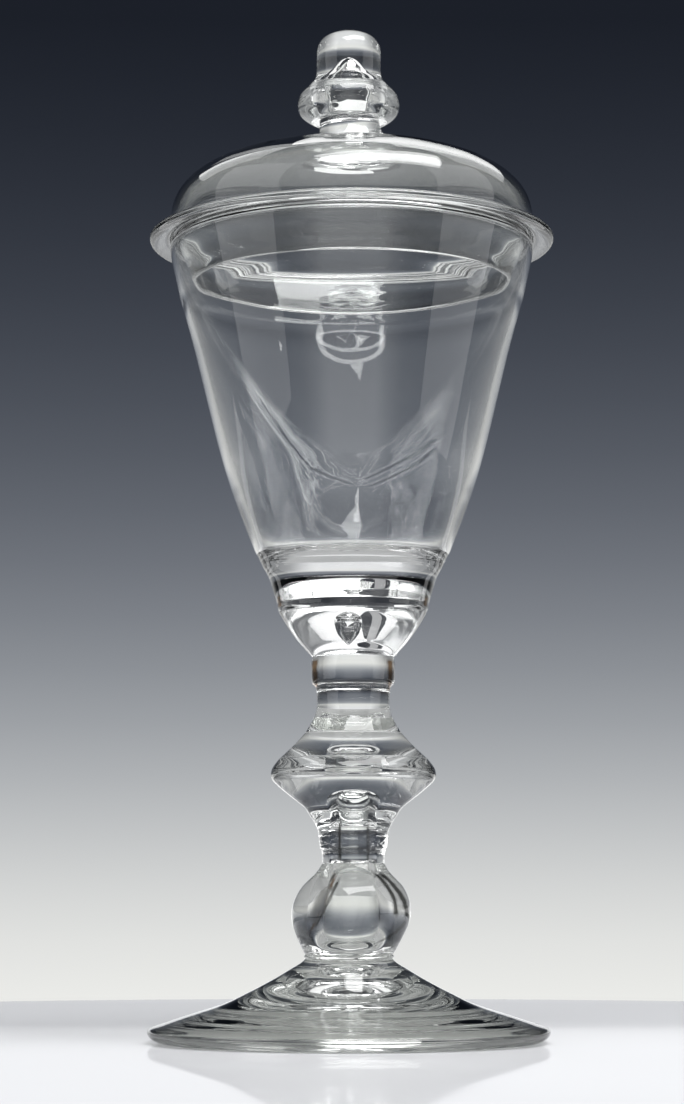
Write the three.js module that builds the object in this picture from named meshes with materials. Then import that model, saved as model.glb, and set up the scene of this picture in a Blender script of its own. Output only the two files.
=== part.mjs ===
// A covered goblet in clear lead glass: a funnel bowl on a knopped stem and a conical foot, with a domed
// cover whose flange hangs inside the bowl. Units are millimetres, +Z is up, and the origin is the centre
// of the ring that the foot stands on. Each gather of glass is a solid of revolution about the Z axis,
// and neighbours meet on the flat planes where the hot gathers were stuck together.
import * as THREE from "three";

// Driving sizes
const TOTAL_HEIGHT = 309.5;
const FOOT_RADIUS = 60.2;
const BOWL_RADIUS = 55.6;
const BOWL_RIM_Z = 242.0;
const BOWL_FLOOR_Z = 145.0;
const COVER_RADIUS = 62.0;
const DOME_RADIUS = 55.6;
const DOME_SPRING_Z = 248.0;
const DOME_RISE = 23.0;
const DOME_WALL = 1.8;
const DOME_FULLNESS = 2.6;
const FLANGE_DROP = 12.4;
const FLANGE_ROOT_INSIDE = 51.6;
const FLANGE_ROOT_OUTSIDE = 53.6;
const SEAT_GAP = 0.25;
const SEAT_Z = BOWL_RIM_Z + SEAT_GAP;

// Radius and height of each plane where one gather was stuck to the next
const FOOT_TOP = { r: 16.0, z: 22.6 };
const RING_TOP = { r: 13.5, z: 26.6 };
const BALL_TOP = { r: 9.3, z: 53.2 };
const NECK_TOP = { r: 11.7, z: 65.4 };
const KNOP_TOP = { r: 22.4, z: 84.6 };
const SHOULDER_TOP = { r: 14.6, z: 92.4 };
const COLLAR_TOP = { r: 12.3, z: 115.4 };
const BASE_TOP = { r: 22.4, z: 129.0 };
const FINIAL_NECK_TOP = { r: 9.3, z: 281.2 };
const FINIAL_KNOP_TOP = { r: 14.3, z: 290.0 };
const DOME_TOP = { r: 15.6, z: domeHeight(15.6) };

// Radii of the air tears where they cross those planes
const STEM_TEAR = 4.6;
const BASE_TEAR = 2.9;
const FINIAL_TEAR = 7.2;
const FINIAL_POINT = 6.6;

// Faces round a revolved gather, and along one side of the dome
const WIDE_SIDES = 40;
const STEM_SIDES = 28;
const DOME_STEPS = 10;

// Height of the dome's outer face at a radius, on a curve between an ellipse and a rectangle.
function domeHeight(r) {
  const across = (r / DOME_RADIUS) ** DOME_FULLNESS;
  return DOME_SPRING_Z + DOME_RISE * (1 - across) ** (1 / DOME_FULLNESS);
}

// An outline of radius and height, drawn from the bottom of the axis round to the top of it.
class Outline {
  constructor(r, z) {
    this.path = new THREE.Path().moveTo(r, z);
  }

  // Straight line to a radius and a height.
  to(r, z) {
    this.path.lineTo(r, z);
    return this;
  }

  // Straight line to the edge of a joint.
  toJoint({ r, z }) {
    return this.to(r, z);
  }

  // Smooth curve through pairs of radius and height.
  through(...pairs) {
    this.path.splineThru(pairs.map(([r, z]) => new THREE.Vector2(r, z)));
    return this;
  }

  // Full-shouldered dome curve between two fractions of its quarter turn, at a depth under its outer face.
  dome(depth, from, to) {
    const power = 2 / DOME_FULLNESS;
    for (let step = 0; step <= DOME_STEPS; step += 1) {
      const angle = THREE.MathUtils.lerp(from, to, step / DOME_STEPS) * (Math.PI / 2);
      const across = Math.max(Math.cos(angle), 0);
      const up = Math.sin(angle);
      const slope = new THREE.Vector2(across ** (2 - power) / DOME_RADIUS, up ** (2 - power) / DOME_RISE);
      slope.setLength(depth);
      this.path.lineTo(DOME_RADIUS * across ** power - slope.x, DOME_SPRING_Z + DOME_RISE * up ** power - slope.y);
    }
    return this;
  }

  // The solid of revolution of this outline, with +Z as its axis.
  revolve(sides) {
    return new THREE.LatheGeometry(this.path.getPoints(1), sides).rotateX(Math.PI / 2);
  }
}

// Conical foot with its rim folded under, standing on the narrow flat of the fold. The underside of the
// fold is left with spun ridges, and the middle of the hollow above it carries the stub left where the
// pontil rod was broken off.
function foot() {
  return new Outline(0, 12.3)
    .through([3.2, 12.6], [5.4, 12.1], [7.6, 13.3], [14.0, 13.4])
    .through([26.0, 11.9], [39.2, 8.3])
    .to(40.1, 7.0)
    .through([44.2, 5.9], [45.2, 5.2], [49.3, 3.5], [50.3, 2.6], [54.6, 0])
    .to(56.8, 0)
    .through([59.4, 1.4], [FOOT_RADIUS, 2.9], [59.3, 4.3], [55.6, 5.6])
    .through([49.2, 7.7], [37.8, 11.3], [30.2, 14.8], [23.0, 18.5], [FOOT_TOP.r, FOOT_TOP.z])
    .to(0, FOOT_TOP.z)
    .revolve(WIDE_SIDES);
}

// Flattened ring between the foot and the stem, with a tooled ridge.
function basalRing() {
  return new Outline(0, FOOT_TOP.z)
    .toJoint(FOOT_TOP)
    .through([14.2, 23.7], [13.2, 24.8])
    .to(13.6, 25.5)
    .to(13.2, 26.1)
    .toJoint(RING_TOP)
    .to(0, RING_TOP.z)
    .revolve(STEM_SIDES);
}

// Ball-shaped baluster round the swollen lower end of the long stem tear.
function balusterBall() {
  return new Outline(0, RING_TOP.z)
    .toJoint(RING_TOP)
    .through([15.8, 31.0], [17.6, 35.6], [17.7, 40.6], [15.5, 45.8], [11.2, 50.3], [BALL_TOP.r, BALL_TOP.z])
    .to(STEM_TEAR, BALL_TOP.z)
    .through([5.2, 50.0], [6.6, 45.6], [7.7, 39.6], [7.7, 35.0], [5.6, 31.4], [2.6, 30.0], [0, 29.7])
    .revolve(STEM_SIDES);
}

// Neck below the angular knop, a thick tube round the tear, with one fine tooled ring.
function lowerNeck() {
  return new Outline(STEM_TEAR, BALL_TOP.z)
    .toJoint(BALL_TOP)
    .through([9.4, 55.6], [9.7, 57.2])
    .to(10.2, 57.7)
    .to(10.1, 58.5)
    .through([10.4, 61.4], [10.7, 63.6], [NECK_TOP.r, NECK_TOP.z])
    .to(STEM_TEAR, NECK_TOP.z)
    .to(STEM_TEAR, BALL_TOP.z)
    .revolve(STEM_SIDES);
}

// Lower part of the angular knop: a steep cone up to its rounded edge, over the broad flat head of the
// long stem tear.
function angularKnop() {
  return new Outline(0, 81.9)
    .through([3.4, 81.6], [5.3, 80.4], [5.7, 78.6], [5.2, 75.6], [4.7, 71.4], [STEM_TEAR, NECK_TOP.z])
    .toJoint(NECK_TOP)
    .through([13.0, 67.4], [14.9, 70.1], [19.6, 73.8], [22.8, 76.5], [24.5, 78.3])
    .through([25.0, 79.8], [24.5, 81.7], [KNOP_TOP.r, KNOP_TOP.z])
    .to(0, KNOP_TOP.z)
    .revolve(STEM_SIDES);
}

// Upper cone of the angular knop, solid glass.
function knopShoulder() {
  return new Outline(0, KNOP_TOP.z)
    .toJoint(KNOP_TOP)
    .through([18.2, 88.5], [SHOULDER_TOP.r, SHOULDER_TOP.z])
    .to(0, SHOULDER_TOP.z)
    .revolve(STEM_SIDES);
}

// Solid collar between the knop and the bowl, with a soft ring over a short waist.
function upperCollar() {
  return new Outline(0, SHOULDER_TOP.z)
    .toJoint(SHOULDER_TOP)
    .through([13.2, 94.6], [11.9, 97.0], [11.15, 99.4], [11.1, 101.2], [11.8, 105.8])
    .through([12.75, 110.6], [12.7, 112.6], [12.2, 114.4], [COLLAR_TOP.r, COLLAR_TOP.z])
    .to(0, COLLAR_TOP.z)
    .revolve(STEM_SIDES);
}

// Solid rounded gather under the bowl. A pointed tear hangs from its top.
function bowlBase() {
  return new Outline(0, COLLAR_TOP.z)
    .toJoint(COLLAR_TOP)
    .through([15.7, 119.2], [18.7, 123.0], [21.0, 126.6], [BASE_TOP.r, BASE_TOP.z])
    .to(BASE_TEAR, BASE_TOP.z)
    .through([2.4, 126.6], [1.4, 124.4], [0, 122.4])
    .revolve(STEM_SIDES);
}

// Funnel bowl with a fire-rounded rim. Its walls thicken downwards into a heavy solid bottom, which
// draws in steeply to the gather below.
function bowl() {
  return new Outline(0, 132.4)
    .through([1.9, 131.8], [BASE_TEAR, BASE_TOP.z])
    .toJoint(BASE_TOP)
    .through([23.0, 130.8], [24.0, 134.6], [24.5, 136.6], [25.5, 139.4], [27.2, 142.6])
    .through([28.8, 146.1], [30.4, 149.4], [36.4, 165.3], [40.8, 180.1], [48.1, 209.8])
    .to(52.3, 224.7)
    .to(BOWL_RADIUS - 0.1, 239.0)
    .through([BOWL_RADIUS, 241.0], [BOWL_RADIUS - 0.8, BOWL_RIM_Z], [BOWL_RADIUS - 1.6, 241.0])
    .to(BOWL_RADIUS - 1.6, 239.0)
    .to(50.5, 224.7)
    .through([46.0, 209.8], [38.0, 180.1], [33.3, 165.3], [28.0, 150.6], [25.6, 147.2])
    .through([21.0, 145.8], [10.0, 145.1], [0, BOWL_FLOOR_Z])
    .revolve(WIDE_SIDES);
}

// Tapering flange that drops inside the bowl, in line with its wall, and keeps the cover in place. Its
// tip is drawn thin and rounded in the fire.
function coverFlange() {
  const tip = SEAT_Z - FLANGE_DROP;
  return new Outline(FLANGE_ROOT_INSIDE, SEAT_Z)
    .through([50.6, 239.6], [48.9, 236.0], [47.1, 232.2], [46.6, tip + 0.8], [47.2, tip])
    .through([48.5, tip + 1.0], [50.2, 234.8], [51.9, 238.8], [52.9, 241.2], [FLANGE_ROOT_OUTSIDE, SEAT_Z])
    .to(FLANGE_ROOT_INSIDE, SEAT_Z)
    .revolve(WIDE_SIDES);
}

// Dome of the cover with full shoulders and an even wall. Its blunt lip overhangs the bowl, and the flat
// under the lip rests on the bowl's rim.
function coverDome() {
  const topAngle = Math.acos((DOME_TOP.r / DOME_RADIUS) ** (DOME_FULLNESS / 2));
  return new Outline(0, DOME_SPRING_Z + DOME_RISE - DOME_WALL)
    .dome(DOME_WALL, 1, 0.02)
    .through([53.7, 247.4], [53.0, 244.4], [FLANGE_ROOT_INSIDE, SEAT_Z])
    .to(FLANGE_ROOT_OUTSIDE, SEAT_Z)
    .to(58.0, SEAT_Z)
    .through([60.4, 242.3], [61.6, 243.0], [COVER_RADIUS, 244.3], [61.8, 245.6], [60.9, 246.5])
    .through([59.0, 247.0], [57.2, 247.6], [56.1, 248.6])
    .dome(0, 0.03, topAngle / (Math.PI / 2))
    .to(0, DOME_TOP.z)
    .revolve(WIDE_SIDES);
}

// Short neck between the dome and the finial.
function finialNeck() {
  return new Outline(0, DOME_TOP.z)
    .toJoint(DOME_TOP)
    .through([11.4, 273.8], [9.7, 277.9], [FINIAL_NECK_TOP.r, FINIAL_NECK_TOP.z])
    .to(0, FINIAL_NECK_TOP.z)
    .revolve(STEM_SIDES);
}

// Flattened knop of the finial, with a wide tear dented into its top.
function finialKnop() {
  return new Outline(0, FINIAL_NECK_TOP.z)
    .to(12.2, FINIAL_NECK_TOP.z)
    .through([14.9, 283.4], [15.7, 286.2], [15.2, 288.6], [FINIAL_KNOP_TOP.r, FINIAL_KNOP_TOP.z])
    .to(FINIAL_TEAR, FINIAL_KNOP_TOP.z)
    .through([7.3, 286.6], [4.9, 284.1], [0, 283.5])
    .revolve(STEM_SIDES);
}

// Button that closes the finial. The tear below draws up into it to a point.
function finialButton() {
  return new Outline(0, 300.6)
    .through([2.3, 298.2], [3.3, 295.8], [4.6, 292.8], [FINIAL_POINT, FINIAL_KNOP_TOP.z])
    .toJoint(FINIAL_KNOP_TOP)
    .through([12.2, 292.2], [10.5, 294.3], [9.9, 297.4])
    .to(9.9, 303.2)
    .through([9.4, 305.4], [7.5, 307.6], [3.6, 309.2], [0, TOTAL_HEIGHT])
    .revolve(STEM_SIDES);
}

const GLASS = { roughness: 0.02, metalness: 0, transparent: true, opacity: 0.35 };
const footGlass = new THREE.MeshStandardMaterial({ ...GLASS, color: 0xdadfdb });
const stemGlass = new THREE.MeshStandardMaterial({ ...GLASS, color: 0xe4e8e7 });
const bowlGlass = new THREE.MeshStandardMaterial({ ...GLASS, color: 0xe9edef });
const coverGlass = new THREE.MeshStandardMaterial({ ...GLASS, color: 0xe6eaea });

// Every gather by name, from the table up
const GATHERS = {
  foot: [foot, footGlass],
  basal_ring: [basalRing, footGlass],
  baluster_ball: [balusterBall, stemGlass],
  lower_neck: [lowerNeck, stemGlass],
  angular_knop: [angularKnop, stemGlass],
  knop_shoulder: [knopShoulder, stemGlass],
  upper_collar: [upperCollar, stemGlass],
  bowl_base: [bowlBase, bowlGlass],
  bowl: [bowl, bowlGlass],
  cover_flange: [coverFlange, coverGlass],
  cover_dome: [coverDome, coverGlass],
  finial_neck: [finialNeck, coverGlass],
  finial_knop: [finialKnop, coverGlass],
  finial_button: [finialButton, coverGlass],
};

const goblet = new THREE.Group();
for (const [name, [shape, material]] of Object.entries(GATHERS)) {
  const gather = new THREE.Mesh(shape(), material);
  gather.name = name;
  goblet.add(gather);
}

export default goblet;
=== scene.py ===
"""Covered goblet in clear lead glass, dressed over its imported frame.

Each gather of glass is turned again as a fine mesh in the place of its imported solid. Sizes are in
millimetres until a mesh is made, and in metres after that. Neighbouring gathers are fused, so the
faces where they meet are see-through and only the polished skin and the air tears bend light.
"""

import logging
import math
from collections.abc import Callable
from dataclasses import dataclass, field
from enum import Enum

import bpy
from bpy.types import Material, Mesh, Node, NodeTree, World
from bpy.types import NodeSocket as Socket
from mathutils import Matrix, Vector


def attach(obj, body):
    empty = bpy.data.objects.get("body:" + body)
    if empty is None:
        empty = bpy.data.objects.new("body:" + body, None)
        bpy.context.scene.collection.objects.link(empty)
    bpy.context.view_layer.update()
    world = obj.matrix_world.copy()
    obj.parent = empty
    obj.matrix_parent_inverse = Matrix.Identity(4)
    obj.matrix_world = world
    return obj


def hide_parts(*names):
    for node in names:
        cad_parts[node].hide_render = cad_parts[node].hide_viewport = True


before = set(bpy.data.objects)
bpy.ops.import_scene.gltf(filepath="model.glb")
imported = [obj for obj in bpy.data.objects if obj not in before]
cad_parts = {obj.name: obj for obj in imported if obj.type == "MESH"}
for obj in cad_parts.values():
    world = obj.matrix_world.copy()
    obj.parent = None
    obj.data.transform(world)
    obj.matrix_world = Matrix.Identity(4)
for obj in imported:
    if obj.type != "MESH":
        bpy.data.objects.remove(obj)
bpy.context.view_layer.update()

Point = tuple[float, float]
Triple = tuple[float, float, float]
Inputs = dict[str | int, object]

MM = 0.001
LOG = logging.getLogger("covered_goblet")

SPAN_STEPS = 7
SIDES = 128
FINE_SIDES = 224

RISING: Point = (0.0, 1.0)
FALLING: Point = (1.0, 0.0)


class Skin(Enum):
    """What a stretch of an outline is on the finished gather."""

    POLISHED = 0
    FUSED = 1


class Body(Enum):
    """The two loose halves of the glass."""

    GOBLET = "goblet"
    COVER = "cover"


def lerp(low: float, high: float, share: float) -> float:
    """Gives the value a share of the way from low to high."""
    return low + (high - low) * share


def ease(value: float, start: float, length: float) -> float:
    """Rises smoothly from 0 at a start to 1 at a length after it."""
    return 0.5 - 0.5 * math.cos(math.pi * min(max(value - start, 0) / length, 1.0))


def sway(phase: Point, z: float, turn: float = 0.0) -> float:
    """Gives the sine of a phase that starts at its first value and grows by its second with height."""
    return math.sin(turn + phase[0] + phase[1] * z)


def spline(a: float, b: float, c: float, d: float, t: float) -> float:
    """Gives a value on the smooth curve from b to c.

    Args:
        a: The value before them.
        b: Where the curve starts.
        c: Where it ends.
        d: The value after them.
        t: Share of the way.

    Returns:
        The value.
    """
    square = (2 * a - 5 * b + 4 * c - d) * t**2
    cube = (3 * (b - c) + d - a) * t**3
    return 0.5 * (2 * b + (c - a) * t + square + cube)


class Outline:
    """Radius and height of a gather, drawn from the bottom of the axis round to the top of it.

    Attributes:
        lean: How far the points that are added now stand off the axis, for an air tear.
        points: Radius, height and lean of each point, in millimetres.
        skins: The skin of the stretch that ends at each point.
    """

    def __init__(self, r: float, z: float, lean: Point = (0.0, 0.0)) -> None:
        """Starts the outline.

        Args:
            r: Radius of the first point.
            z: Height of the first point.
            lean: How far an air tear that starts here stands off the axis.
        """
        self.lean = lean
        self.points: list[tuple[float, float, Point]] = [(r, z, lean)]
        self.skins: list[Skin] = [Skin.POLISHED]

    def leaning(self, x: float = 0.0, y: float = 0.0) -> "Outline":
        """Sets how far the points that follow stand off the axis, for an air tear."""
        self.lean = (x, y)
        return self

    def _add(self, r: float, z: float, skin: Skin = Skin.POLISHED) -> None:
        """Adds one point with the present lean."""
        self.points.append((max(r, 0.0), z, self.lean))
        self.skins.append(skin)

    def to(self, r: float, z: float, steps: int = 3) -> "Outline":
        """Draws a straight polished stretch.

        Args:
            r: Radius of its end.
            z: Height of its end.
            steps: Faces along it.

        Returns:
            The outline itself.
        """
        r0, z0, _ = self.points[-1]
        for step in range(1, steps + 1):
            share = step / steps
            self._add(lerp(r0, r, share), lerp(z0, z, share))
        return self

    def fused(self, r: float, z: float) -> "Outline":
        """Draws straight across a face that is fused to the next gather."""
        self._add(r, z, Skin.FUSED)
        return self

    def through(self, *pairs: Point, steps: int = SPAN_STEPS) -> "Outline":
        """Draws a smooth curve from the last point through pairs of radius and height.

        Args:
            *pairs: The points that the curve passes.
            steps: Faces between one point and the next.

        Returns:
            The outline itself.
        """
        knots = [self.points[-1][:2], *pairs]
        for k, (start, end) in enumerate(zip(knots, knots[1:])):
            before, after = knots[max(k - 1, 0)], knots[min(k + 2, len(knots) - 1)]
            for step in range(1, steps + 1):
                self._add(*(spline(*values, step / steps) for values in zip(before, start, end, after)))
        return self

    def curve(self, place: Callable[[float], Point], start: float, end: float, steps: int) -> "Outline":
        """Draws a polished stretch by a formula.

        Args:
            place: Gives radius and height at a value.
            start: The value at the first point.
            end: The value at the last point.
            steps: Faces along it.

        Returns:
            The outline itself.
        """
        for step in range(steps + 1):
            self._add(*place(lerp(start, end, step / steps)))
        return self


@dataclass(frozen=True)
class HandMade:
    """The small unevenness that turning on a rod and reheating leave in blown glass.

    Sizes are in millimetres. A blend is the height where a change starts and how far up it takes. A
    phase is an angle at the table and what each millimetre of height adds to it.

    Attributes:
        oval: Share by which the glass is out of round.
        lobe: Share of a three-sided swelling on top of that.
        wander: How far the axis strays sideways.
        wander_rise: Height over which that grows from nothing.
        foot_offset: How far the foot stands off the stem's axis.
        finial_offset: The same for the finial.
        rim_fall: How far the rim and cover fall from front to back, as a share of the way.
        foot_blend: Blend out of the foot's offset.
        finial_blend: Blend into the finial's offset.
        rim_blend: Blend into the rim's fall.
        oval_phase: Phase of the oval.
        lobe_phase: Phase of the three-sided swelling.
        wander_x: Phase of the stray to the sides.
        wander_y: Phase of the stray to front and back.
    """

    oval: float = 0.0022
    lobe: float = 0.0012
    wander: float = 0.22
    wander_rise: float = 60.0
    foot_offset: float = -1.2
    finial_offset: float = -1.1
    rim_fall: float = 0.03
    foot_blend: Point = (22.0, 32.0)
    finial_blend: Point = (273.0, 12.0)
    rim_blend: Point = (150.0, 75.0)
    oval_phase: Point = (0.9, 0.006)
    lobe_phase: Point = (2.1, -0.011)
    wander_x: Point = (0.0, 0.021)
    wander_y: Point = (1.0, 0.016)

    def place(self, r: float, turn: float, z: float, lean: Point) -> Triple:
        """Puts a point of an outline where the uneven glass has it.

        Args:
            r: Radius in millimetres.
            turn: Angle about the axis.
            z: Height in millimetres.
            lean: Sideways place of an air tear.

        Returns:
            The point in metres.
        """
        swell = self.oval * sway(self.oval_phase, z, 2 * turn)
        swell += self.lobe * sway(self.lobe_phase, z, 3 * turn)
        reach = r * (1 + swell)
        stray = self.wander * min(z / self.wander_rise, 1.0)
        settle = self.foot_offset * (1 - ease(z, *self.foot_blend))
        settle += self.finial_offset * ease(z, *self.finial_blend)
        x = reach * math.cos(turn) + lean[0] + settle + stray * sway(self.wander_x, z)
        y = reach * math.sin(turn) + lean[1] + stray * sway(self.wander_y, z)
        fall = self.rim_fall * ease(z, *self.rim_blend)
        return (x * MM, y * MM, (z - fall * reach * math.sin(turn)) * MM)


UNEVEN = HandMade()


class NodeCanvas:
    """Adds and joins nodes in a shader node tree.

    Attributes:
        tree: The tree that is being drawn.
    """

    def __init__(self, tree: NodeTree) -> None:
        """Takes the tree to draw in."""
        self.tree = tree

    def feed(self, node: Node, inputs: Inputs) -> None:
        """Fills inputs of a node.

        Args:
            node: The node.
            inputs: What each input gets, by name or place: a number, a colour or another node's output.
        """
        for name, value in inputs.items():
            if isinstance(value, Socket):
                self.tree.links.new(value, node.inputs[name])
            else:
                node.inputs[name].default_value = (*value, 1.0) if isinstance(value, tuple) else value

    def add(self, kind: str, inputs: Inputs | None = None, **settings: object) -> Node:
        """Adds a node.

        Args:
            kind: Its type.
            inputs: What its inputs get.
            **settings: Its properties.

        Returns:
            The node.
        """
        node = self.tree.nodes.new(kind)
        for name, value in settings.items():
            setattr(node, name, value)
        self.feed(node, inputs or {})
        return node

    def maths(self, operation: str, *values: float | Socket) -> Socket:
        """Adds a Math node with its values and gives its output."""
        return self.add("ShaderNodeMath", dict(enumerate(values)), operation=operation).outputs[0]

    def fit(self, value: Socket, span: Point, result: Point = RISING) -> Socket:
        """Maps a value from one span to another, held at its ends."""
        ends = dict(zip(("From Min", "From Max", "To Min", "To Max"), (*span, *result)))
        return self.add("ShaderNodeMapRange", {"Value": value, **ends}).outputs["Result"]

    def mix(self, share: Socket, low: Triple | Socket, high: Triple | Socket) -> Socket:
        """Mixes two colours, each fixed or another node's output."""
        return self.add("ShaderNodeMix", {"Factor": share, 6: low, 7: high}, data_type="RGBA").outputs[2]

    def blend(self, share: float | Socket, low: Node, high: Node) -> Node:
        """Mixes two shaders."""
        return self.add("ShaderNodeMixShader", {"Fac": share, 1: low.outputs[0], 2: high.outputs[0]})

    def axes(self, kind: str) -> tuple[Socket, ...]:
        """Gives X, Y and Z of a kind of texture coordinate."""
        place = self.add("ShaderNodeTexCoord").outputs[kind]
        return tuple(self.add("ShaderNodeSeparateXYZ", {0: place}).outputs)

    def noise(self, scale: float | Socket, **inputs: float) -> Socket:
        """Adds a noise that is fixed to the object, at a scale to the metre and with further inputs."""
        place = self.add("ShaderNodeTexCoord").outputs["Object"]
        return self.add("ShaderNodeTexNoise", {"Vector": place, "Scale": scale, **inputs}).outputs["Fac"]


def new_material(name: str) -> tuple[Material, NodeCanvas, Node]:
    """Starts a material.

    Args:
        name: Its name.

    Returns:
        The material, a canvas for its tree and its Principled shader.
    """
    made = bpy.data.materials.new(name)
    made.use_nodes = True
    return made, NodeCanvas(made.node_tree), made.node_tree.nodes["Principled BSDF"]


def new_group(
    name: str, numbers: dict[str, float], result: str
) -> tuple[NodeCanvas, dict[str, Socket], Node]:
    """Starts a shader node group.

    Args:
        name: Its name.
        numbers: Its inputs, all numbers, with their first values.
        result: The name of its output, a number.

    Returns:
        A canvas for its tree, its inputs to draw from, and the node that takes its output.
    """
    tree = bpy.data.node_groups.new(name, "ShaderNodeTree")
    for label, value in numbers.items():
        socket = tree.interface.new_socket(label, in_out="INPUT", socket_type="NodeSocketFloat")
        socket.default_value = value
    tree.interface.new_socket(result, in_out="OUTPUT", socket_type="NodeSocketFloat")
    canvas = NodeCanvas(tree)
    start = canvas.add("NodeGroupInput")
    return canvas, {socket.name: socket for socket in start.outputs}, canvas.add("NodeGroupOutput")


def ripple_group() -> NodeTree:
    """Builds the ripple left by blowing and tooling, as a height in metres.

    Returns:
        The group.
    """
    numbers = {"Wave Size": 0.018, "Wave Depth": 0.00003, "Tool Pitch": 0.004, "Tool Depth": 0.000006}
    canvas, given, end = new_group("Blown ripple", numbers, "Height")
    wave = canvas.noise(canvas.maths("DIVIDE", 1.0, given["Wave Size"]), Detail=1.5)
    pitch = canvas.maths("DIVIDE", 1.0, given["Tool Pitch"])
    inputs = {"W": canvas.axes("Object")[2], "Scale": pitch, "Detail": 1.0}
    rings = canvas.add("ShaderNodeTexNoise", inputs, noise_dimensions="1D")
    swell = canvas.maths("MULTIPLY", wave, given["Wave Depth"])
    ridge = canvas.maths("MULTIPLY", rings.outputs["Fac"], given["Tool Depth"])
    canvas.feed(end, {"Height": canvas.maths("ADD", swell, ridge)})
    return canvas.tree


def haze_group() -> NodeTree:
    """Builds the faint haze of handling and old wiping marks, as a roughness.

    Returns:
        The group.
    """
    hazed = (0.5, 0.75)
    numbers = {"Clear": 0.0, "Hazy": 0.03, "Patch Size": 0.03}
    canvas, given, end = new_group("Handling haze", numbers, "Roughness")
    patch = canvas.noise(canvas.maths("DIVIDE", 1.0, given["Patch Size"]), Detail=4.0, Distortion=0.8)
    extra = canvas.maths("SUBTRACT", given["Hazy"], given["Clear"])
    rough = canvas.maths("MULTIPLY_ADD", canvas.fit(patch, hazed), extra, given["Clear"])
    canvas.feed(end, {"Roughness": rough})
    return canvas.tree


def streak_group() -> NodeTree:
    """Builds a narrow bent streak on the front of the glass, as a mask that frays along its edges.

    Returns:
        The group.
    """
    fray_scale, fray_gain, fray_least = 420.0, 1.6, 0.2
    core, tip, front_fade = 0.35, 0.12, 0.0005
    numbers = {"Start X": 0.0, "Start Z": 0.0, "End X": 0.0, "End Z": 0.01, "Bend": 0.0, "Width": 0.001}
    canvas, given, end = new_group("Streak", numbers, "Mask")
    x, y, z = canvas.axes("Object")
    length = canvas.maths("SUBTRACT", given["End Z"], given["Start Z"])
    along = canvas.maths("DIVIDE", canvas.maths("SUBTRACT", z, given["Start Z"]), length)
    drift = canvas.maths("SUBTRACT", given["End X"], given["Start X"])
    straight = canvas.maths("MULTIPLY_ADD", along, drift, given["Start X"])
    arch = canvas.maths("MULTIPLY", along, canvas.maths("SUBTRACT", 1.0, along))
    middle = canvas.maths("MULTIPLY_ADD", arch, given["Bend"], straight)
    fray = canvas.maths("MULTIPLY_ADD", canvas.noise(fray_scale), fray_gain, fray_least)
    width = canvas.maths("MULTIPLY", given["Width"], fray)
    near = canvas.maths("DIVIDE", canvas.maths("ABSOLUTE", canvas.maths("SUBTRACT", x, middle)), width)
    line = canvas.fit(near, (core, 1.0), FALLING)
    lower, upper = canvas.fit(along, (0.0, tip)), canvas.fit(along, (1.0 - tip, 1.0), FALLING)
    front = canvas.fit(y, (-front_fade, front_fade), FALLING)
    reach = canvas.maths("MULTIPLY", canvas.maths("MULTIPLY", lower, upper), front)
    canvas.feed(end, {"Mask": canvas.maths("MULTIPLY", line, reach)})
    return canvas.tree


@dataclass(frozen=True)
class Groups:
    """The node groups that the finishes share."""

    ripple: NodeTree = field(default_factory=ripple_group)
    haze: NodeTree = field(default_factory=haze_group)
    streak: NodeTree = field(default_factory=streak_group)


@dataclass(frozen=True)
class Streak:
    """A painted line on the front of the glass, dark as painted shade or brown as a painted colour fringe,
    standing in for the refraction edges of the air tears and the colour fringes of lead glass; or the run of
    a clear cord, as seen from the front.

    Attributes:
        start: Sideways place and height of its lower end, in millimetres.
        end: The same of its upper end.
        bend: How far its middle bows sideways, times four.
        width: Half its width.
        colour: Painted tint that it leaves: dark or grey for painted shade, brown for a painted colour
            fringe.
    """

    start: Point
    end: Point
    bend: float
    width: float
    colour: Triple = (0.02, 0.02, 0.018)

    def mask(self, canvas: NodeCanvas, groups: Groups) -> Socket:
        """Adds its mask to a material.

        Args:
            canvas: The material's canvas.
            groups: The shared node groups.

        Returns:
            The mask.
        """
        sizes = (*self.start, *self.end, self.bend, self.width)
        inputs = {place: size * MM for place, size in enumerate(sizes)}
        return canvas.add("ShaderNodeGroup", inputs, node_tree=groups.streak).outputs["Mask"]


# Tints of the painted lines: brown for painted colour fringes, grey for painted shade.
PAINTED_FRINGE_BROWN: Triple = (0.10, 0.045, 0.018)
PAINTED_SHADE_GREY: Triple = (0.20, 0.20, 0.19)
FOOT_TINT: Triple = (0.90, 0.92, 0.89)
BOWL_TINT: Triple = (0.98, 0.985, 0.985)

# Painted shade lines and painted colour fringes on the front of the stem, standing in for the air tears'
# refraction edges and the lead glass's fringes.
STEM_PAINTED_LINES = (
    Streak((-11.9, 32.8), (-3.6, 49.6), 0.4, 0.75),
    Streak((-13.4, 31.2), (-4.6, 51.0), 0.8, 0.85, PAINTED_FRINGE_BROWN),
    Streak((-12.8, 35.0), (-7.0, 46.6), -1.0, 2.6, PAINTED_SHADE_GREY),
    Streak((12.4, 36.6), (5.3, 51.4), 11.0, 1.1),
    Streak((16.2, 35.6), (6.6, 51.6), 12.0, 1.3),
    Streak((6.4, 29.4), (16.0, 36.8), 8.0, 1.1, PAINTED_SHADE_GREY),
    Streak((-3.9, 53.2), (-3.9, 66.4), 0.0, 0.7),
    Streak((4.6, 53.2), (4.6, 66.0), 0.0, 0.6, PAINTED_SHADE_GREY),
    Streak((-11.2, 104.8), (-11.5, 115.1), 0.0, 1.6, PAINTED_FRINGE_BROWN),
    Streak((11.0, 104.2), (11.3, 115.1), 0.8, 1.3, PAINTED_FRINGE_BROWN),
)

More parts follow.
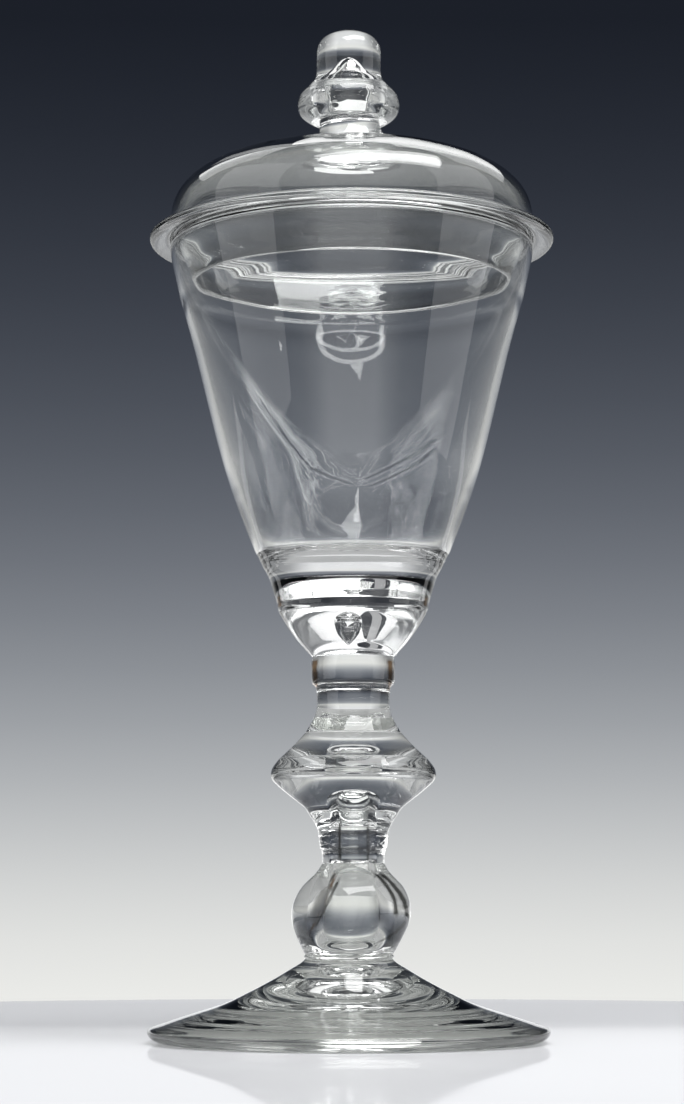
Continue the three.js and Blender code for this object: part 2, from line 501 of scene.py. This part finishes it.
# Painted brown colour fringes on the front of the base's ridge.
BASE_PAINTED_LINES = (
    Streak((-21.9, 130.0), (-22.3, 133.6), 0.0, 1.2, PAINTED_FRINGE_BROWN),
    Streak((21.9, 130.0), (22.3, 133.6), 0.0, 1.1, PAINTED_FRINGE_BROWN),
)

BOWL_CORDS = (
    Streak((-12.0, 168.6), (-27.6, 190.6), -3.5, 0.7),
    Streak((-10.4, 166.6), (-24.6, 187.0), -3.5, 0.5),
    Streak((0.6, 163.6), (-12.4, 169.2), -5.0, 1.5),
    Streak((-0.8, 163.6), (26.4, 180.6), 14.0, 1.4),
    Streak((3.0, 162.6), (24.0, 175.6), 12.0, 1.1),
    Streak((-10.0, 146.5), (-13.4, 168.0), 2.6, 0.8),
    Streak((-8.2, 147.0), (-9.8, 166.0), 2.0, 0.6),
    Streak((10.6, 148.0), (15.0, 167.5), -3.0, 0.7),
)


@dataclass(frozen=True)
class GlassFinish:
    """Polished lead glass.

    Attributes:
        name: The material's name, which is also the record's slot.
        tint: Colour that each passage through the skin leaves.
        index: Index of refraction.
        wave_depth: Depth of the slow ripple, in metres.
        tool_depth: Depth of the tooling rings, in metres.
        haze: Roughness where the glass is hazed.
        painted_lines: Painted shade lines and painted colour fringes on its front, standing in for
            refraction edges and dispersion fringes.
        cords: Clear cords that stand out of it.
        cord_depth: How far they stand out, in metres.
        cloud_scale: Clouds of deeper tint to the metre.
        cloud_tint: Share of light that they pass.
    """

    name: str
    tint: Triple = (0.975, 0.985, 0.975)
    index: float = 1.56
    wave_depth: float = 0.00004
    tool_depth: float = 0.0000015
    haze: float = 0.02
    painted_lines: tuple[Streak, ...] = ()
    cords: tuple[Streak, ...] = ()
    cord_depth: float = 0.00002
    cloud_scale: float = 14.0
    cloud_tint: float = 0.985

    def material(self, groups: Groups) -> Material:
        """Makes the material.

        Args:
            groups: The shared node groups.

        Returns:
            The material.
        """
        made, canvas, shader = new_material(self.name)
        colour = self._clouded(canvas)
        # Painted shade lines and colour fringes darken or tint the colour, on the front only.
        for streak in self.painted_lines:
            colour = canvas.mix(streak.mask(canvas, groups), colour, streak.colour)
        depths = {"Wave Depth": self.wave_depth, "Tool Depth": self.tool_depth}
        height = canvas.add("ShaderNodeGroup", depths, node_tree=groups.ripple).outputs["Height"]
        for cord in self.cords:
            height = canvas.maths("MULTIPLY_ADD", cord.mask(canvas, groups), self.cord_depth, height)
        bump = canvas.add("ShaderNodeBump", {"Distance": 1.0, "Height": height})
        haze = canvas.add("ShaderNodeGroup", {"Hazy": self.haze}, node_tree=groups.haze)
        inputs = {
            "Base Color": colour,
            "Metallic": 0.0,
            "Roughness": haze.outputs["Roughness"],
            "IOR": self.index,
            "Transmission Weight": 1.0,
            "Normal": bump.outputs["Normal"],
        }
        canvas.feed(shader, inputs)
        return made

    def _clouded(self, canvas: NodeCanvas) -> Socket:
        """Lets the tint vary a little where the metal of the glass was unevenly mixed.

        Args:
            canvas: The material's canvas.

        Returns:
            The tint.
        """
        ramp = canvas.add("ShaderNodeValToRGB", {"Fac": canvas.noise(self.cloud_scale)})
        deep, clear = ramp.color_ramp.elements
        deep.color = (*(tone * self.cloud_tint for tone in self.tint), 1.0)
        clear.color = (*self.tint, 1.0)
        return ramp.outputs["Color"]


@dataclass(frozen=True)
class FusedFinish:
    """The face where one gather runs into the next without a break, which shows nothing."""

    name: str = "fused_face"

    def material(self) -> Material:
        """Makes the material.

        Returns:
            The material.
        """
        made, canvas, shader = new_material(self.name)
        canvas.feed(shader, {"Base Color": (1.0, 1.0, 1.0), "Alpha": 0.0})
        return made


@dataclass
class Gather:
    """One gather of glass, turned from its outline.

    Attributes:
        node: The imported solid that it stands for.
        outline: Its section.
        sides: Faces round it.
    """

    node: str
    outline: Outline
    sides: int = SIDES

    def _rings(self) -> tuple[list[Triple], list[list[int]]]:
        """Places the vertices.

        Returns:
            The vertices, and their numbers by outline point, one on the axis or a full ring.
        """
        spots: list[Triple] = []
        rings: list[list[int]] = []
        for r, z, lean in self.outline.points:
            count = self.sides if r > 0 else 1
            rings.append(list(range(len(spots), len(spots) + count)))
            spots += [UNEVEN.place(r, 2 * math.pi * k / self.sides, z, lean) for k in range(count)]
        return spots, rings

    def mesh(self) -> Mesh:
        """Makes the closed mesh, with its polished faces in the first slot and its fused ones in the second.

        Returns:
            The mesh.
        """
        spots, rings = self._rings()
        if self.outline.points[0][0] > 0:
            rings[-1] = rings[0]
            spots = spots[: rings[-2][-1] + 1]
        faces: list[tuple[int, ...]] = []
        fused: list[bool] = []
        for low, high, skin in zip(rings, rings[1:], self.outline.skins[1:]):
            n, m = len(low), len(high)
            if n == m == 1:
                continue
            for k in range(self.sides):
                after = (k + 1) % self.sides
                corners = (low[k % n], low[after % n], high[after % m], high[k % m])
                faces.append(tuple(dict.fromkeys(corners)))
                fused.append(skin is Skin.FUSED)
        mesh = bpy.data.meshes.new(self.node + "_glass")
        mesh.from_pydata(spots, [], faces)
        mesh.polygons.foreach_set("use_smooth", [not flat for flat in fused])
        mesh.polygons.foreach_set("material_index", [int(flat) for flat in fused])
        mesh.update()
        return mesh

    def dress(self, body: Body, glass: Material, joint: Material, slot: str) -> None:
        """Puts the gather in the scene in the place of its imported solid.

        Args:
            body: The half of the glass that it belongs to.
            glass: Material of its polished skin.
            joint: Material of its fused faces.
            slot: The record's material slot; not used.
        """
        piece = bpy.data.objects.new(self.node + "_glass", self.mesh())
        bpy.context.scene.collection.objects.link(piece)
        piece.data.materials.append(glass)
        piece.data.materials.append(joint)
        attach(piece, body.value)
        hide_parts(self.node)
        LOG.info("%s: %d faces", piece.name, len(piece.data.polygons))


@dataclass
class Foot:
    """The conical foot and the ring that joins it to the stem.

    Attributes:
        radius: Outer radius.
        top: Radius and height where the ring starts.
        ring_top: Radius and height where the stem starts.
        fold: Radius of the inner edge of the folded rim.
    """

    radius: float = 60.2
    top: Point = (16.0, 22.6)
    ring_top: Point = (13.5, 26.6)
    fold: float = 39.8

    def foot(self) -> Gather:
        """Turns the foot, with the pontil stub in the middle of its hollow underside.

        Returns:
            The gather.
        """
        return Gather(
            "foot",
            Outline(0, 12.3)
            .through((1.6, 12.5), (3.2, 12.0), (4.4, 12.5), (5.6, 12.1), (7.4, 13.2), (14.0, 13.4))
            .through((26.0, 11.9), (self.fold - 0.6, 8.3))
            .through((self.fold, 7.9), (self.fold + 0.2, 7.2), (self.fold + 0.9, 6.7), (43.4, 5.9), steps=4)
            .through((43.8, 5.9), (44.4, 5.0), (48.2, 4.2), (49.0, 4.1), (49.5, 2.9), (52.4, 2.1), steps=4)
            .through((53.0, 1.9), (53.6, 0.8), (54.4, 0.1), (55.0, 0.0), steps=4)
            .to(56.4, 0)
            .through((57.6, 0.3), (59.4, 1.4), (self.radius, 2.9), (59.3, 4.3), (55.6, 5.6))
            .through((49.2, 7.7), (37.8, 11.3), (30.2, 14.8), (23.0, 18.5), self.top)
            .fused(0, self.top[1]),
            FINE_SIDES,
        )

    def ring(self) -> Gather:
        """Turns the flattened ring with its tooled ridge.

        Returns:
            The gather.
        """
        z = self.top[1]
        return Gather(
            "basal_ring",
            Outline(0, z)
            .fused(*self.top)
            .through((14.2, z + 1.1), (13.25, z + 2.1), (13.35, z + 2.6), (13.6, z + 2.9))
            .through((13.3, z + 3.3), (13.2, z + 3.5), self.ring_top)
            .fused(0, self.ring_top[1]),
        )

    def gathers(self) -> list[Gather]:
        """Lists its gathers."""
        return [self.foot(), self.ring()]


@dataclass
class Stem:
    """The knopped stem, with the air tears inside it.

    Attributes:
        ball_base: Radius and height of the ball's lower joint.
        ball_top: The same of its upper joint.
        neck_top: The same where the neck meets the angular knop.
        knop_top: The same where the knop's two cones meet.
        shoulder_top: The same under the collar.
        collar_top: The same under the bowl.
        tear: Radius of the long tear in the neck.
    """

    ball_base: Point = (13.5, 26.6)
    ball_top: Point = (9.3, 53.2)
    neck_top: Point = (11.7, 65.4)
    knop_top: Point = (22.4, 84.6)
    shoulder_top: Point = (14.6, 92.4)
    collar_top: Point = (12.3, 115.4)
    tear: float = 4.6

    def ball(self) -> Gather:
        """Turns the ball round the swollen end of the long tear.

        Returns:
            The gather.
        """
        swollen_end = ((5.3, 50.0), (6.9, 45.6), (8.2, 40.2), (8.3, 35.2), (6.4, 31.0), (3.0, 29.3))
        return Gather(
            "baluster_ball",
            Outline(0, self.ball_base[1])
            .fused(*self.ball_base)
            .through((15.8, 31.0), (17.6, 35.6), (17.7, 40.6), (15.5, 45.8), (11.2, 50.3), self.ball_top)
            .fused(self.tear, self.ball_top[1])
            .through(*swollen_end, (0, 29.0)),
        )

    def neck(self) -> Gather:
        """Turns the thick tube between the ball and the angular knop.

        Returns:
            The gather.
        """
        step = ((9.35, 55.6), (9.55, 57.0), (9.9, 57.8), (10.1, 58.7), (10.3, 60.4), (10.7, 63.2))
        return Gather(
            "lower_neck",
            Outline(self.tear, self.ball_top[1])
            .fused(*self.ball_top)
            .through(*step, self.neck_top)
            .fused(self.tear, self.neck_top[1])
            .to(self.tear, self.ball_top[1], steps=8),
        )

    def knop(self) -> Gather:
        """Turns the lower cone and edge of the angular knop.

        Returns:
            The gather.
        """
        tear_top = ((3.4, 81.6), (5.3, 80.4), (5.7, 78.6), (5.2, 75.6), (4.7, 71.4))
        return Gather(
            "angular_knop",
            Outline(0, 81.9)
            .through(*tear_top, (self.tear, self.neck_top[1]))
            .fused(*self.neck_top)
            .through((13.0, 67.4), (14.9, 70.1), (19.6, 73.8), (22.8, 76.5), (24.5, 78.3), (25.0, 79.8))
            .through((24.7, 81.2), (23.9, 82.7), self.knop_top)
            .fused(0, self.knop_top[1]),
        )

    def shoulder(self) -> Gather:
        """Turns the upper cone of the angular knop.

        Returns:
            The gather.
        """
        return Gather(
            "knop_shoulder",
            Outline(0, self.knop_top[1])
            .fused(*self.knop_top)
            .through((18.2, 88.5), self.shoulder_top)
            .fused(0, self.shoulder_top[1]),
        )

    def collar(self) -> Gather:
        """Turns the waisted solid collar.

        Returns:
            The gather.
        """
        waist = ((13.2, 94.6), (11.9, 97.0), (11.3, 98.8), (11.0, 100.5), (10.98, 102.2), (11.05, 104.0))
        step = ((11.14, 105.3), (11.35, 106.2), (11.8, 106.8), (12.3, 107.3), (12.58, 108.2), (12.68, 109.8))
        return Gather(
            "upper_collar",
            Outline(0, self.shoulder_top[1])
            .fused(*self.shoulder_top)
            .through(*waist)
            .through(*step)
            .through((12.74, 111.3), (12.7, 112.7), (12.56, 114.0), self.collar_top)
            .fused(0, self.collar_top[1]),
        )

    def gathers(self) -> list[Gather]:
        """Lists its gathers."""
        return [self.ball(), self.neck(), self.knop(), self.shoulder(), self.collar()]


@dataclass
class Bowl:
    """The funnel bowl on its solid base.

    Attributes:
        base: Radius and height where the base meets the collar.
        seam: Radius and height where the bowl meets its base.
        tear: Radius of the pointed tear at that seam.
        rim: Outer radius at the rim.
        rim_z: Height of the rim.
        rim_wall: Thickness of the rim.
        floor_z: Height of the floor inside.
        tear_lean: How far the tear stands off the axis.
    """

    base: Point = (12.3, 115.4)
    seam: Point = (22.4, 129.0)
    tear: float = 2.9
    rim: float = 55.6
    rim_z: float = 242.0
    rim_wall: float = 1.6
    floor_z: float = 145.0
    tear_lean: Point = (-1.0, -1.5)

    def solid_base(self) -> Gather:
        """Turns the solid rounded gather, with the pointed tear in its top.

        Returns:
            The gather.
        """
        return Gather(
            "bowl_base",
            Outline(0, self.base[1])
            .fused(*self.base)
            .through((15.7, 119.2), (18.7, 123.0), (21.0, 126.6), self.seam)
            .leaning(*self.tear_lean)
            .fused(self.tear, self.seam[1])
            .through((2.4, 126.6), (1.4, 124.4), (0.5, 122.9), (0, 122.4)),
        )

    def bowl(self) -> Gather:
        """Turns the bowl from its underside up to the rim and down inside.

        Returns:
            The gather.
        """
        rim, lip, inner = self.rim, self.rim - self.rim_wall / 2, self.rim - self.rim_wall
        under = ((22.75, 130.0), (22.88, 130.8), (23.0, 131.6), (23.4, 132.8), (23.95, 134.6), (24.6, 136.8))
        side = ((28.8, 146.1), (30.4, 149.4), (36.4, 165.3), (40.8, 180.1), (48.1, 209.8), (52.3, 224.7))
        return Gather(
            "bowl",
            Outline(0, 132.4, self.tear_lean)
            .through((1.1, 132.2), (2.2, 131.4), (2.8, 130.3), (self.tear, self.seam[1]))
            .leaning()
            .fused(*self.seam)
            .through(*under)
            .through((25.6, 139.8), (27.2, 142.7))
            .through(*side)
            .through((rim - 0.1, 239.0), (rim, 241.0), (lip, self.rim_z), (inner, 241.0))
            .through((inner, 239.0), (50.5, 224.7), (46.0, 209.8), (38.0, 180.1), (33.3, 165.3))
            .through((28.0, 150.6), (25.6, 147.2), (21.0, 145.8), (10.0, 145.1), (0, self.floor_z)),
            FINE_SIDES,
        )

    def gathers(self) -> list[Gather]:
        """Lists its gathers."""
        return [self.solid_base(), self.bowl()]


@dataclass
class Cover:
    """The domed cover with its lip, flange and finial.

    Attributes:
        seat_z: Height of the flat that rests on the bowl's rim.
        root: Radii inside and outside the flange where it meets the seat.
        flange_drop: How far the flange reaches down.
        lip: Outer radius of the lip.
        dome: Radius of the dome.
        spring_z: Height where the dome springs.
        rise: Height of the dome above that.
        wall: Thickness of the dome.
        fullness: Power of the dome's curve, two for an ellipse.
        dome_steps: Faces along the dome's inner and outer skin.
        dome_top: Radius where the finial's neck starts.
        neck_top: Radius and height where the finial's knop starts.
        knop_top: Radius and height where its button starts.
        tear: Radius of the wide tear at that joint.
        tear_point: Radius there of the point that the tear draws up into.
    """

    seat_z: float = 242.25
    root: Point = (51.6, 53.6)
    flange_drop: float = 12.4
    lip: float = 62.0
    dome: float = 55.6
    spring_z: float = 248.0
    rise: float = 23.0
    wall: float = 1.8
    fullness: float = 2.6
    dome_steps: tuple[int, int] = (64, 68)
    dome_top: float = 15.6
    neck_top: Point = (9.3, 281.2)
    knop_top: Point = (14.3, 290.0)
    tear: float = 7.2
    tear_point: float = 6.6

    @property
    def dome_top_z(self) -> float:
        """Height of the dome where the finial's neck starts."""
        across = (self.dome_top / self.dome) ** self.fullness
        return self.spring_z + self.rise * (1 - across) ** (1 / self.fullness)

    def _dome_curve(self, depth: float = 0.0) -> Callable[[float], Point]:
        """Gives the dome's full-shouldered curve.

        Args:
            depth: How far it lies under the outer skin.

        Returns:
            A function that gives radius and height at an angle.
        """

        def place(angle: float) -> Point:
            """Gives radius and height at an angle.

            Args:
                angle: Angle above the spring line.

            Returns:
                Radius and height.
            """
            across, up = max(math.cos(angle), 0.0), max(math.sin(angle), 0.0)
            power = 2 / self.fullness
            slope = Vector((across ** (2 - power) / self.dome, up ** (2 - power) / self.rise)).normalized()
            return (
                self.dome * across**power - depth * slope.x,
                self.spring_z + self.rise * up**power - depth * slope.y,
            )

        return place

    def flange(self) -> Gather:
        """Turns the upright flange.

        Returns:
            The gather.
        """
        tip = self.seat_z - self.flange_drop
        inner, outer = self.root
        outside = ((48.0, tip + 0.1), (48.6, tip + 1.0), (49.6, 233.8), (51.2, 237.4), (52.7, 240.8))
        return Gather(
            "cover_flange",
            Outline(inner, self.seat_z)
            .through((50.3, 239.6), (48.7, 236.2), (47.7, 233.4), (47.1, tip + 0.8), (47.4, tip))
            .through(*outside, (outer, self.seat_z))
            .fused(inner, self.seat_z),
            FINE_SIDES,
        )

    def top(self) -> Gather:
        """Turns the dome and its overhanging lip.

        Returns:
            The gather.
        """
        outside, inside = self._dome_curve(), self._dome_curve(self.wall)
        top_angle = math.acos((self.dome_top / self.dome) ** (self.fullness / 2))
        quarter, hem = math.pi / 2, 0.005 * math.pi
        fold = ((59.0, 245.0), (57.0, 245.1), (56.0, 245.4), (55.7, 246.2))
        return Gather(
            "cover_dome",
            Outline(0, self.spring_z + self.rise - self.wall)
            .curve(inside, quarter, 2 * hem, self.dome_steps[0])
            .through((53.8, 246.4), (53.6, 244.9), (52.9, 243.6), (self.root[0], self.seat_z))
            .fused(self.root[1], self.seat_z)
            .to(58.0, self.seat_z)
            .through((60.4, 242.3), (61.5, 242.7), (self.lip, 243.6), (61.7, 244.3), (60.8, 244.8))
            .through(*fold, outside(hem / 2), steps=5)
            .curve(outside, hem, top_angle, self.dome_steps[1])
            .fused(0, self.dome_top_z),
            FINE_SIDES,
        )

    def neck(self) -> Gather:
        """Turns the finial's short neck.

        Returns:
            The gather.
        """
        return Gather(
            "finial_neck",
            Outline(0, self.dome_top_z)
            .fused(self.dome_top, self.dome_top_z)
            .through((13.0, 271.7), (11.4, 273.8), (10.4, 275.8), (9.7, 277.9), (9.3, 279.6), self.neck_top)
            .fused(0, self.neck_top[1]),
        )

    def knop(self) -> Gather:
        """Turns the flattened knop with the wide tear in its top.

        Returns:
            The gather.
        """
        edge = ((14.9, 283.4), (15.7, 286.2), (15.2, 288.6))
        z = self.neck_top[1]
        return Gather(
            "finial_knop",
            Outline(0, z)
            .fused(*self.neck_top)
            .through((10.4, z + 0.1), (12.2, z + 0.2), *edge, self.knop_top)
            .fused(self.tear, self.knop_top[1])
            .through((7.3, 286.6), (4.9, 284.1), (0, 283.5)),
        )

    def button(self) -> Gather:
        """Turns the button that closes the finial.

        Returns:
            The gather.
        """
        drawn_point = ((1.2, 299.9), (2.3, 298.2), (3.3, 295.8), (4.6, 292.8))
        return Gather(
            "finial_button",
            Outline(0, 300.6)
            .through(*drawn_point, (self.tear_point, self.knop_top[1]))
            .to(self.tear, self.knop_top[1])
            .fused(*self.knop_top)
            .through((12.2, 292.2), (10.5, 294.3), (9.9, 297.4), (9.9, 303.2))
            .through((9.5, 305.0), (8.4, 306.8), (6.6, 308.1), (3.6, 309.2), (0, 309.5)),
        )

    def gathers(self) -> list[Gather]:
        """Lists its gathers."""
        return [self.flange(), self.top(), self.neck(), self.knop(), self.button()]


@dataclass(frozen=True)
class BackdropFinish:
    """The tones round the table: a graduated backdrop behind it and the room in front.

    A sideways or forward span is a share of a ray's direction, and the others are degrees above the
    horizon.

    Attributes:
        foot: Tone at the backdrop's foot.
        fall: How fast each of its colours falls with the angle, as a power of e to the degree.
        start: Angle where that begins.
        softness: Degrees over which it begins.
        span: Lowest and highest angle of the gradation.
        steps: Steps that it is drawn in.
        room: Tone of the room in front, above the table.
        floor: Tone below the table's level.
        floor_side: Tone below that level to either side.
        ambient: Even light that matt surfaces get.
        wing: Tone of the black flags on either side, which only glass and gloss show.
        wing_thin: Share of the flags that is lost where they are seen through glass.
        side_span: Sideways span from the floor's middle to its side.
        wing_span: Sideways span over which the flags begin.
        front_span: Forward span from the backdrop to the room.
        back_floor_span: Angles from the floor to the backdrop.
        front_floor_span: Angles from the floor to the room.
    """

    foot: Triple = (0.92, 0.92, 0.885)
    fall: Triple = (0.259, 0.247, 0.221)
    start: float = -0.79
    softness: float = 1.29
    span: Point = (-2.0, 16.0)
    steps: int = 18
    room: Triple = (0.44, 0.45, 0.46)
    floor: Triple = (0.80, 0.81, 0.82)
    floor_side: Triple = (0.40, 0.41, 0.42)
    ambient: Triple = (0.20, 0.205, 0.215)
    wing: Triple = (0.05, 0.055, 0.06)
    wing_thin: float = 0.6
    side_span: Point = (0.35, 0.75)
    wing_span: Point = (0.30, 0.62)
    front_span: Point = (-0.3, -0.75)
    back_floor_span: Point = (-12.0, -2.5)
    front_floor_span: Point = (-4.0, 2.0)

    def _tone(self, angle: float) -> Triple:
        """Gives the backdrop's colour at an angle, lit from below and falling off evenly above its foot."""
        way = self.softness * math.log(1 + math.exp((angle - self.start) / self.softness))
        return tuple(tone * math.exp(-fall * way) for tone, fall in zip(self.foot, self.fall))

    def _backdrop(self, canvas: NodeCanvas, rise: Socket) -> Socket:
        """Draws the graduated backdrop.

        Args:
            canvas: The world's canvas.
            rise: Angle above the horizon.

        Returns:
            Its colour.
        """
        ramp = canvas.add("ShaderNodeValToRGB", {"Fac": canvas.fit(rise, self.span)})
        elements = ramp.color_ramp.elements
        for step in range(1, self.steps):
            elements.new(step / self.steps)
        for element in elements:
            element.color = (*self._tone(lerp(*self.span, element.position)), 1.0)
        return ramp.outputs["Color"]

    def world(self) -> World:
        """Makes the world: painted tones for the camera, glass and gloss, an even light for the rest.

        Returns:
            The world.
        """
        made = bpy.data.worlds.new("studio")
        made.use_nodes = True
        made.node_tree.nodes.clear()
        canvas = NodeCanvas(made.node_tree)
        x, y, z = canvas.axes("Generated")
        rise = canvas.maths("MULTIPLY", canvas.maths("ARCSINE", z), math.degrees(1.0))
        aside = canvas.maths("ABSOLUTE", x)
        floor = canvas.mix(canvas.fit(aside, self.side_span), self.floor, self.floor_side)
        back_floor = canvas.fit(rise, self.back_floor_span, FALLING)
        front_floor = canvas.fit(rise, self.front_floor_span, FALLING)
        behind = canvas.mix(back_floor, self._backdrop(canvas, rise), floor)
        ahead = canvas.mix(front_floor, self.room, floor)
        around = canvas.mix(canvas.fit(y, self.front_span), behind, ahead)
        rays = canvas.add("ShaderNodeLightPath").outputs
        glossy, passing = rays["Is Glossy Ray"], rays["Is Transmission Ray"]
        lost = canvas.maths("MULTIPLY", passing, self.wing_thin)
        mirrored = canvas.maths("MAXIMUM", canvas.maths("SUBTRACT", glossy, lost), 0.0)
        flags = canvas.maths("MULTIPLY", canvas.fit(aside, self.wing_span), mirrored)
        tones = canvas.add("ShaderNodeBackground", {"Color": canvas.mix(flags, around, self.wing)})
        even = canvas.add("ShaderNodeBackground", {"Color": self.ambient})
        seen = canvas.maths("MAXIMUM", rays["Is Camera Ray"], canvas.maths("MAXIMUM", glossy, passing))
        canvas.add("ShaderNodeOutputWorld", {"Surface": canvas.blend(seen, even, tones).outputs[0]})
        return made


@dataclass(frozen=True)
class TableFinish:
    """A white table top that mirrors what stands on it faintly, with a painted glow that it shows through
    the glass in place of its shading.

    Attributes:
        colour: Its colour.
        matt: Roughness of its body.
        roughness: Softness of the mirror image.
        uneven: How far that softness varies.
        cloud_scale: Patches of it to the metre.
        cloud_span: Span of the noise that makes them.
        gloss: Share of light that the mirror image takes.
        through: Tone of the painted glow that it shows through the glass, standing in for the light that
            gathers under the foot.
        painted_glow_share: How far that painted glow takes the place of the shading there.
    """

    colour: Triple = (0.80, 0.805, 0.825)
    matt: float = 0.6
    roughness: float = 0.05
    uneven: float = 0.02
    cloud_scale: float = 9.0
    cloud_span: Point = (0.3, 0.7)
    gloss: float = 0.30
    through: Triple = (0.40, 0.405, 0.40)
    painted_glow_share: float = 0.75

    def material(self) -> Material:
        """Makes the material.

        Returns:
            The material.
        """
        made, canvas, shader = new_material("white_table")
        canvas.feed(shader, {"Base Color": self.colour, "Specular IOR Level": 0.0, "Roughness": self.matt})
        span = (self.roughness - self.uneven, self.roughness + self.uneven)
        soft = canvas.fit(canvas.noise(self.cloud_scale), self.cloud_span, span)
        mirror = canvas.add("ShaderNodeBsdfAnisotropic", {"Roughness": soft})
        # Painted glow: seen through the glass, the table gives off an even tone in place of its shading.
        glow = canvas.add("ShaderNodeEmission", {"Color": self.through})
        passing = canvas.add("ShaderNodeLightPath").outputs["Is Transmission Ray"]
        share = canvas.maths("MULTIPLY", passing, self.painted_glow_share)
        seen = canvas.blend(share, canvas.blend(self.gloss, shader, mirror), glow)
        canvas.feed(made.node_tree.nodes["Material Output"], {"Surface": seen.outputs[0]})
        return made


@dataclass(frozen=True)
class SoftBox:
    """A soft box aimed at the glass, which the camera itself doesn't see.

    Attributes:
        name: Its name.
        place: Where it hangs.
        size: Its width and height.
        brightness: How bright its face looks, where one is white.
        mirrored: Whether polished skins mirror it.
        through: Whether it shows through the glass.
        aim: Where it points.
    """

    name: str
    place: Triple
    size: Point
    brightness: float
    mirrored: bool = True
    through: bool = True
    aim: Triple = (0.0, 0.0, 0.15)

    def hang(self) -> None:
        """Puts it in the scene."""
        data = bpy.data.lights.new(self.name, "AREA")
        data.shape = "RECTANGLE"
        data.size, data.size_y = self.size
        data.energy = self.brightness * math.pi * self.size[0] * self.size[1]
        lamp = bpy.data.objects.new(self.name, data)
        lamp.location = self.place
        lamp.rotation_euler = (Vector(self.aim) - Vector(self.place)).to_track_quat("-Z", "Y").to_euler()
        lamp.visible_camera = False
        lamp.visible_glossy = self.mirrored
        lamp.visible_transmission = self.through
        bpy.context.scene.collection.objects.link(lamp)


@dataclass
class Studio:
    """Table, backdrop, lamps, world and camera, in metres.

    Attributes:
        table_radius: Radius of the round table top.
        table_edge: How far each ring of its skin lies outside that, and its height, from below to the top.
        table_sides: Faces round it.
        camera_place: Where the camera stands.
        camera_tilt: How far it looks up, in degrees.
        lens: Its focal length in millimetres.
        sensor: Width of its sensor in millimetres.
        near: Nearest distance that it sees.
        boxes: Tall soft boxes on either side, one overhead, three high up behind, and a low card
            behind the table.
    """

    table_radius: float = 0.36
    table_edge: tuple[Point, ...] = (
        (-0.02, -0.02), (0.0, -0.018), (0.0, -0.003), (-0.003, -0.0002), (-0.01, -0.0002)
    )
    table_sides: int = 160
    camera_place: Triple = (-0.0032, -0.928, 0.0467)
    camera_tilt: float = 6.2
    lens: float = 100.0
    sensor: float = 36.0
    near: float = 0.02
    boxes: tuple[SoftBox, ...] = (
        SoftBox("left_box", (-0.57, -0.22, 0.36), (0.52, 0.80), 1.0, through=False),
        SoftBox("right_box", (0.60, -0.16, 0.36), (0.50, 0.80), 1.0, through=False),
        SoftBox("top_box", (0.16, -0.29, 0.86), (0.76, 0.38), 6.8),
        SoftBox("back_box_right", (0.484, 0.978, 1.36), (1.47, 0.80), 1.15, mirrored=False),
        SoftBox("back_box_gap", (-0.335, 1.033, 1.36), (0.186, 0.80), 0.4, mirrored=False),
        SoftBox("back_box_left", (-0.763, 0.829, 1.36), (0.67, 0.80), 1.15, mirrored=False),
        SoftBox("low_card", (0.0, 0.39, 0.038), (2.4, 0.052), 0.8, through=False),
    )

    def camera(self) -> None:
        """Sets up the camera at the photograph's angle."""
        data = bpy.data.cameras.new("camera")
        data.lens = self.lens
        data.sensor_width = self.sensor
        data.clip_start = self.near
        camera = bpy.data.objects.new("camera", data)
        camera.location = self.camera_place
        camera.rotation_euler = (math.radians(90 + self.camera_tilt), 0.0, 0.0)
        bpy.context.scene.collection.objects.link(camera)
        bpy.context.scene.camera = camera

    def table(self) -> None:
        """Makes the round table top, just under the foot."""
        sides = self.table_sides
        turns = [2 * math.pi * k / sides for k in range(sides)]
        rings = [(self.table_radius + out, z) for out, z in self.table_edge]
        spots = [(r * math.cos(turn), r * math.sin(turn), z) for r, z in rings for turn in turns]
        faces: list[tuple[int, ...]] = []
        for level in range(len(rings) - 1):
            for k in range(sides):
                a, b = level * sides + k, level * sides + (k + 1) % sides
                faces.append((a, b, b + sides, a + sides))
        faces.append(tuple(range(len(spots) - sides, len(spots))))
        mesh = bpy.data.meshes.new("table")
        mesh.from_pydata(spots, [], faces)
        mesh.polygons.foreach_set("use_smooth", [True] * len(faces))
        mesh.materials.append(TableFinish().material())
        piece = bpy.data.objects.new("table", mesh)
        bpy.context.scene.collection.objects.link(piece)

    def light_paths(self) -> None:
        """Lets light pass as many faces as thick glass with air inside it needs."""
        cycles = bpy.context.scene.cycles
        cycles.max_bounces = 32
        cycles.transmission_bounces = 32
        cycles.glossy_bounces = 12
        cycles.transparent_max_bounces = 48
        cycles.caustics_refractive = True
        cycles.caustics_reflective = True
        bpy.context.scene.view_settings.view_transform = "Standard"

    def build(self) -> None:
        """Sets the whole stage."""
        self.camera()
        self.table()
        bpy.context.scene.world = BackdropFinish().world()
        for box in self.boxes:
            box.hang()
        self.light_paths()


def main() -> None:
    """Sets the stage, turns every gather and reports each piece."""
    logging.basicConfig(level=logging.INFO, format="%(name)s: %(message)s")
    Studio().build()
    groups = Groups()
    joint = FusedFinish().material()
    bowl = GlassFinish("bowl_glass", BOWL_TINT, wave_depth=0.00006, painted_lines=BASE_PAINTED_LINES, cords=BOWL_CORDS)
    plan = (
        (Foot(), Body.GOBLET, GlassFinish("foot_glass", tint=FOOT_TINT)),
        (Stem(), Body.GOBLET, GlassFinish("stem_glass", painted_lines=STEM_PAINTED_LINES)),
        (Bowl(), Body.GOBLET, bowl),
        (Cover(), Body.COVER, GlassFinish("cover_glass", wave_depth=0.00005)),
    )
    for part, body, finish in plan:
        glass = finish.material(groups)
        for gather in part.gathers():
            gather.dress(body, glass, joint, finish.name)


if __name__ == "__main__":
    main()
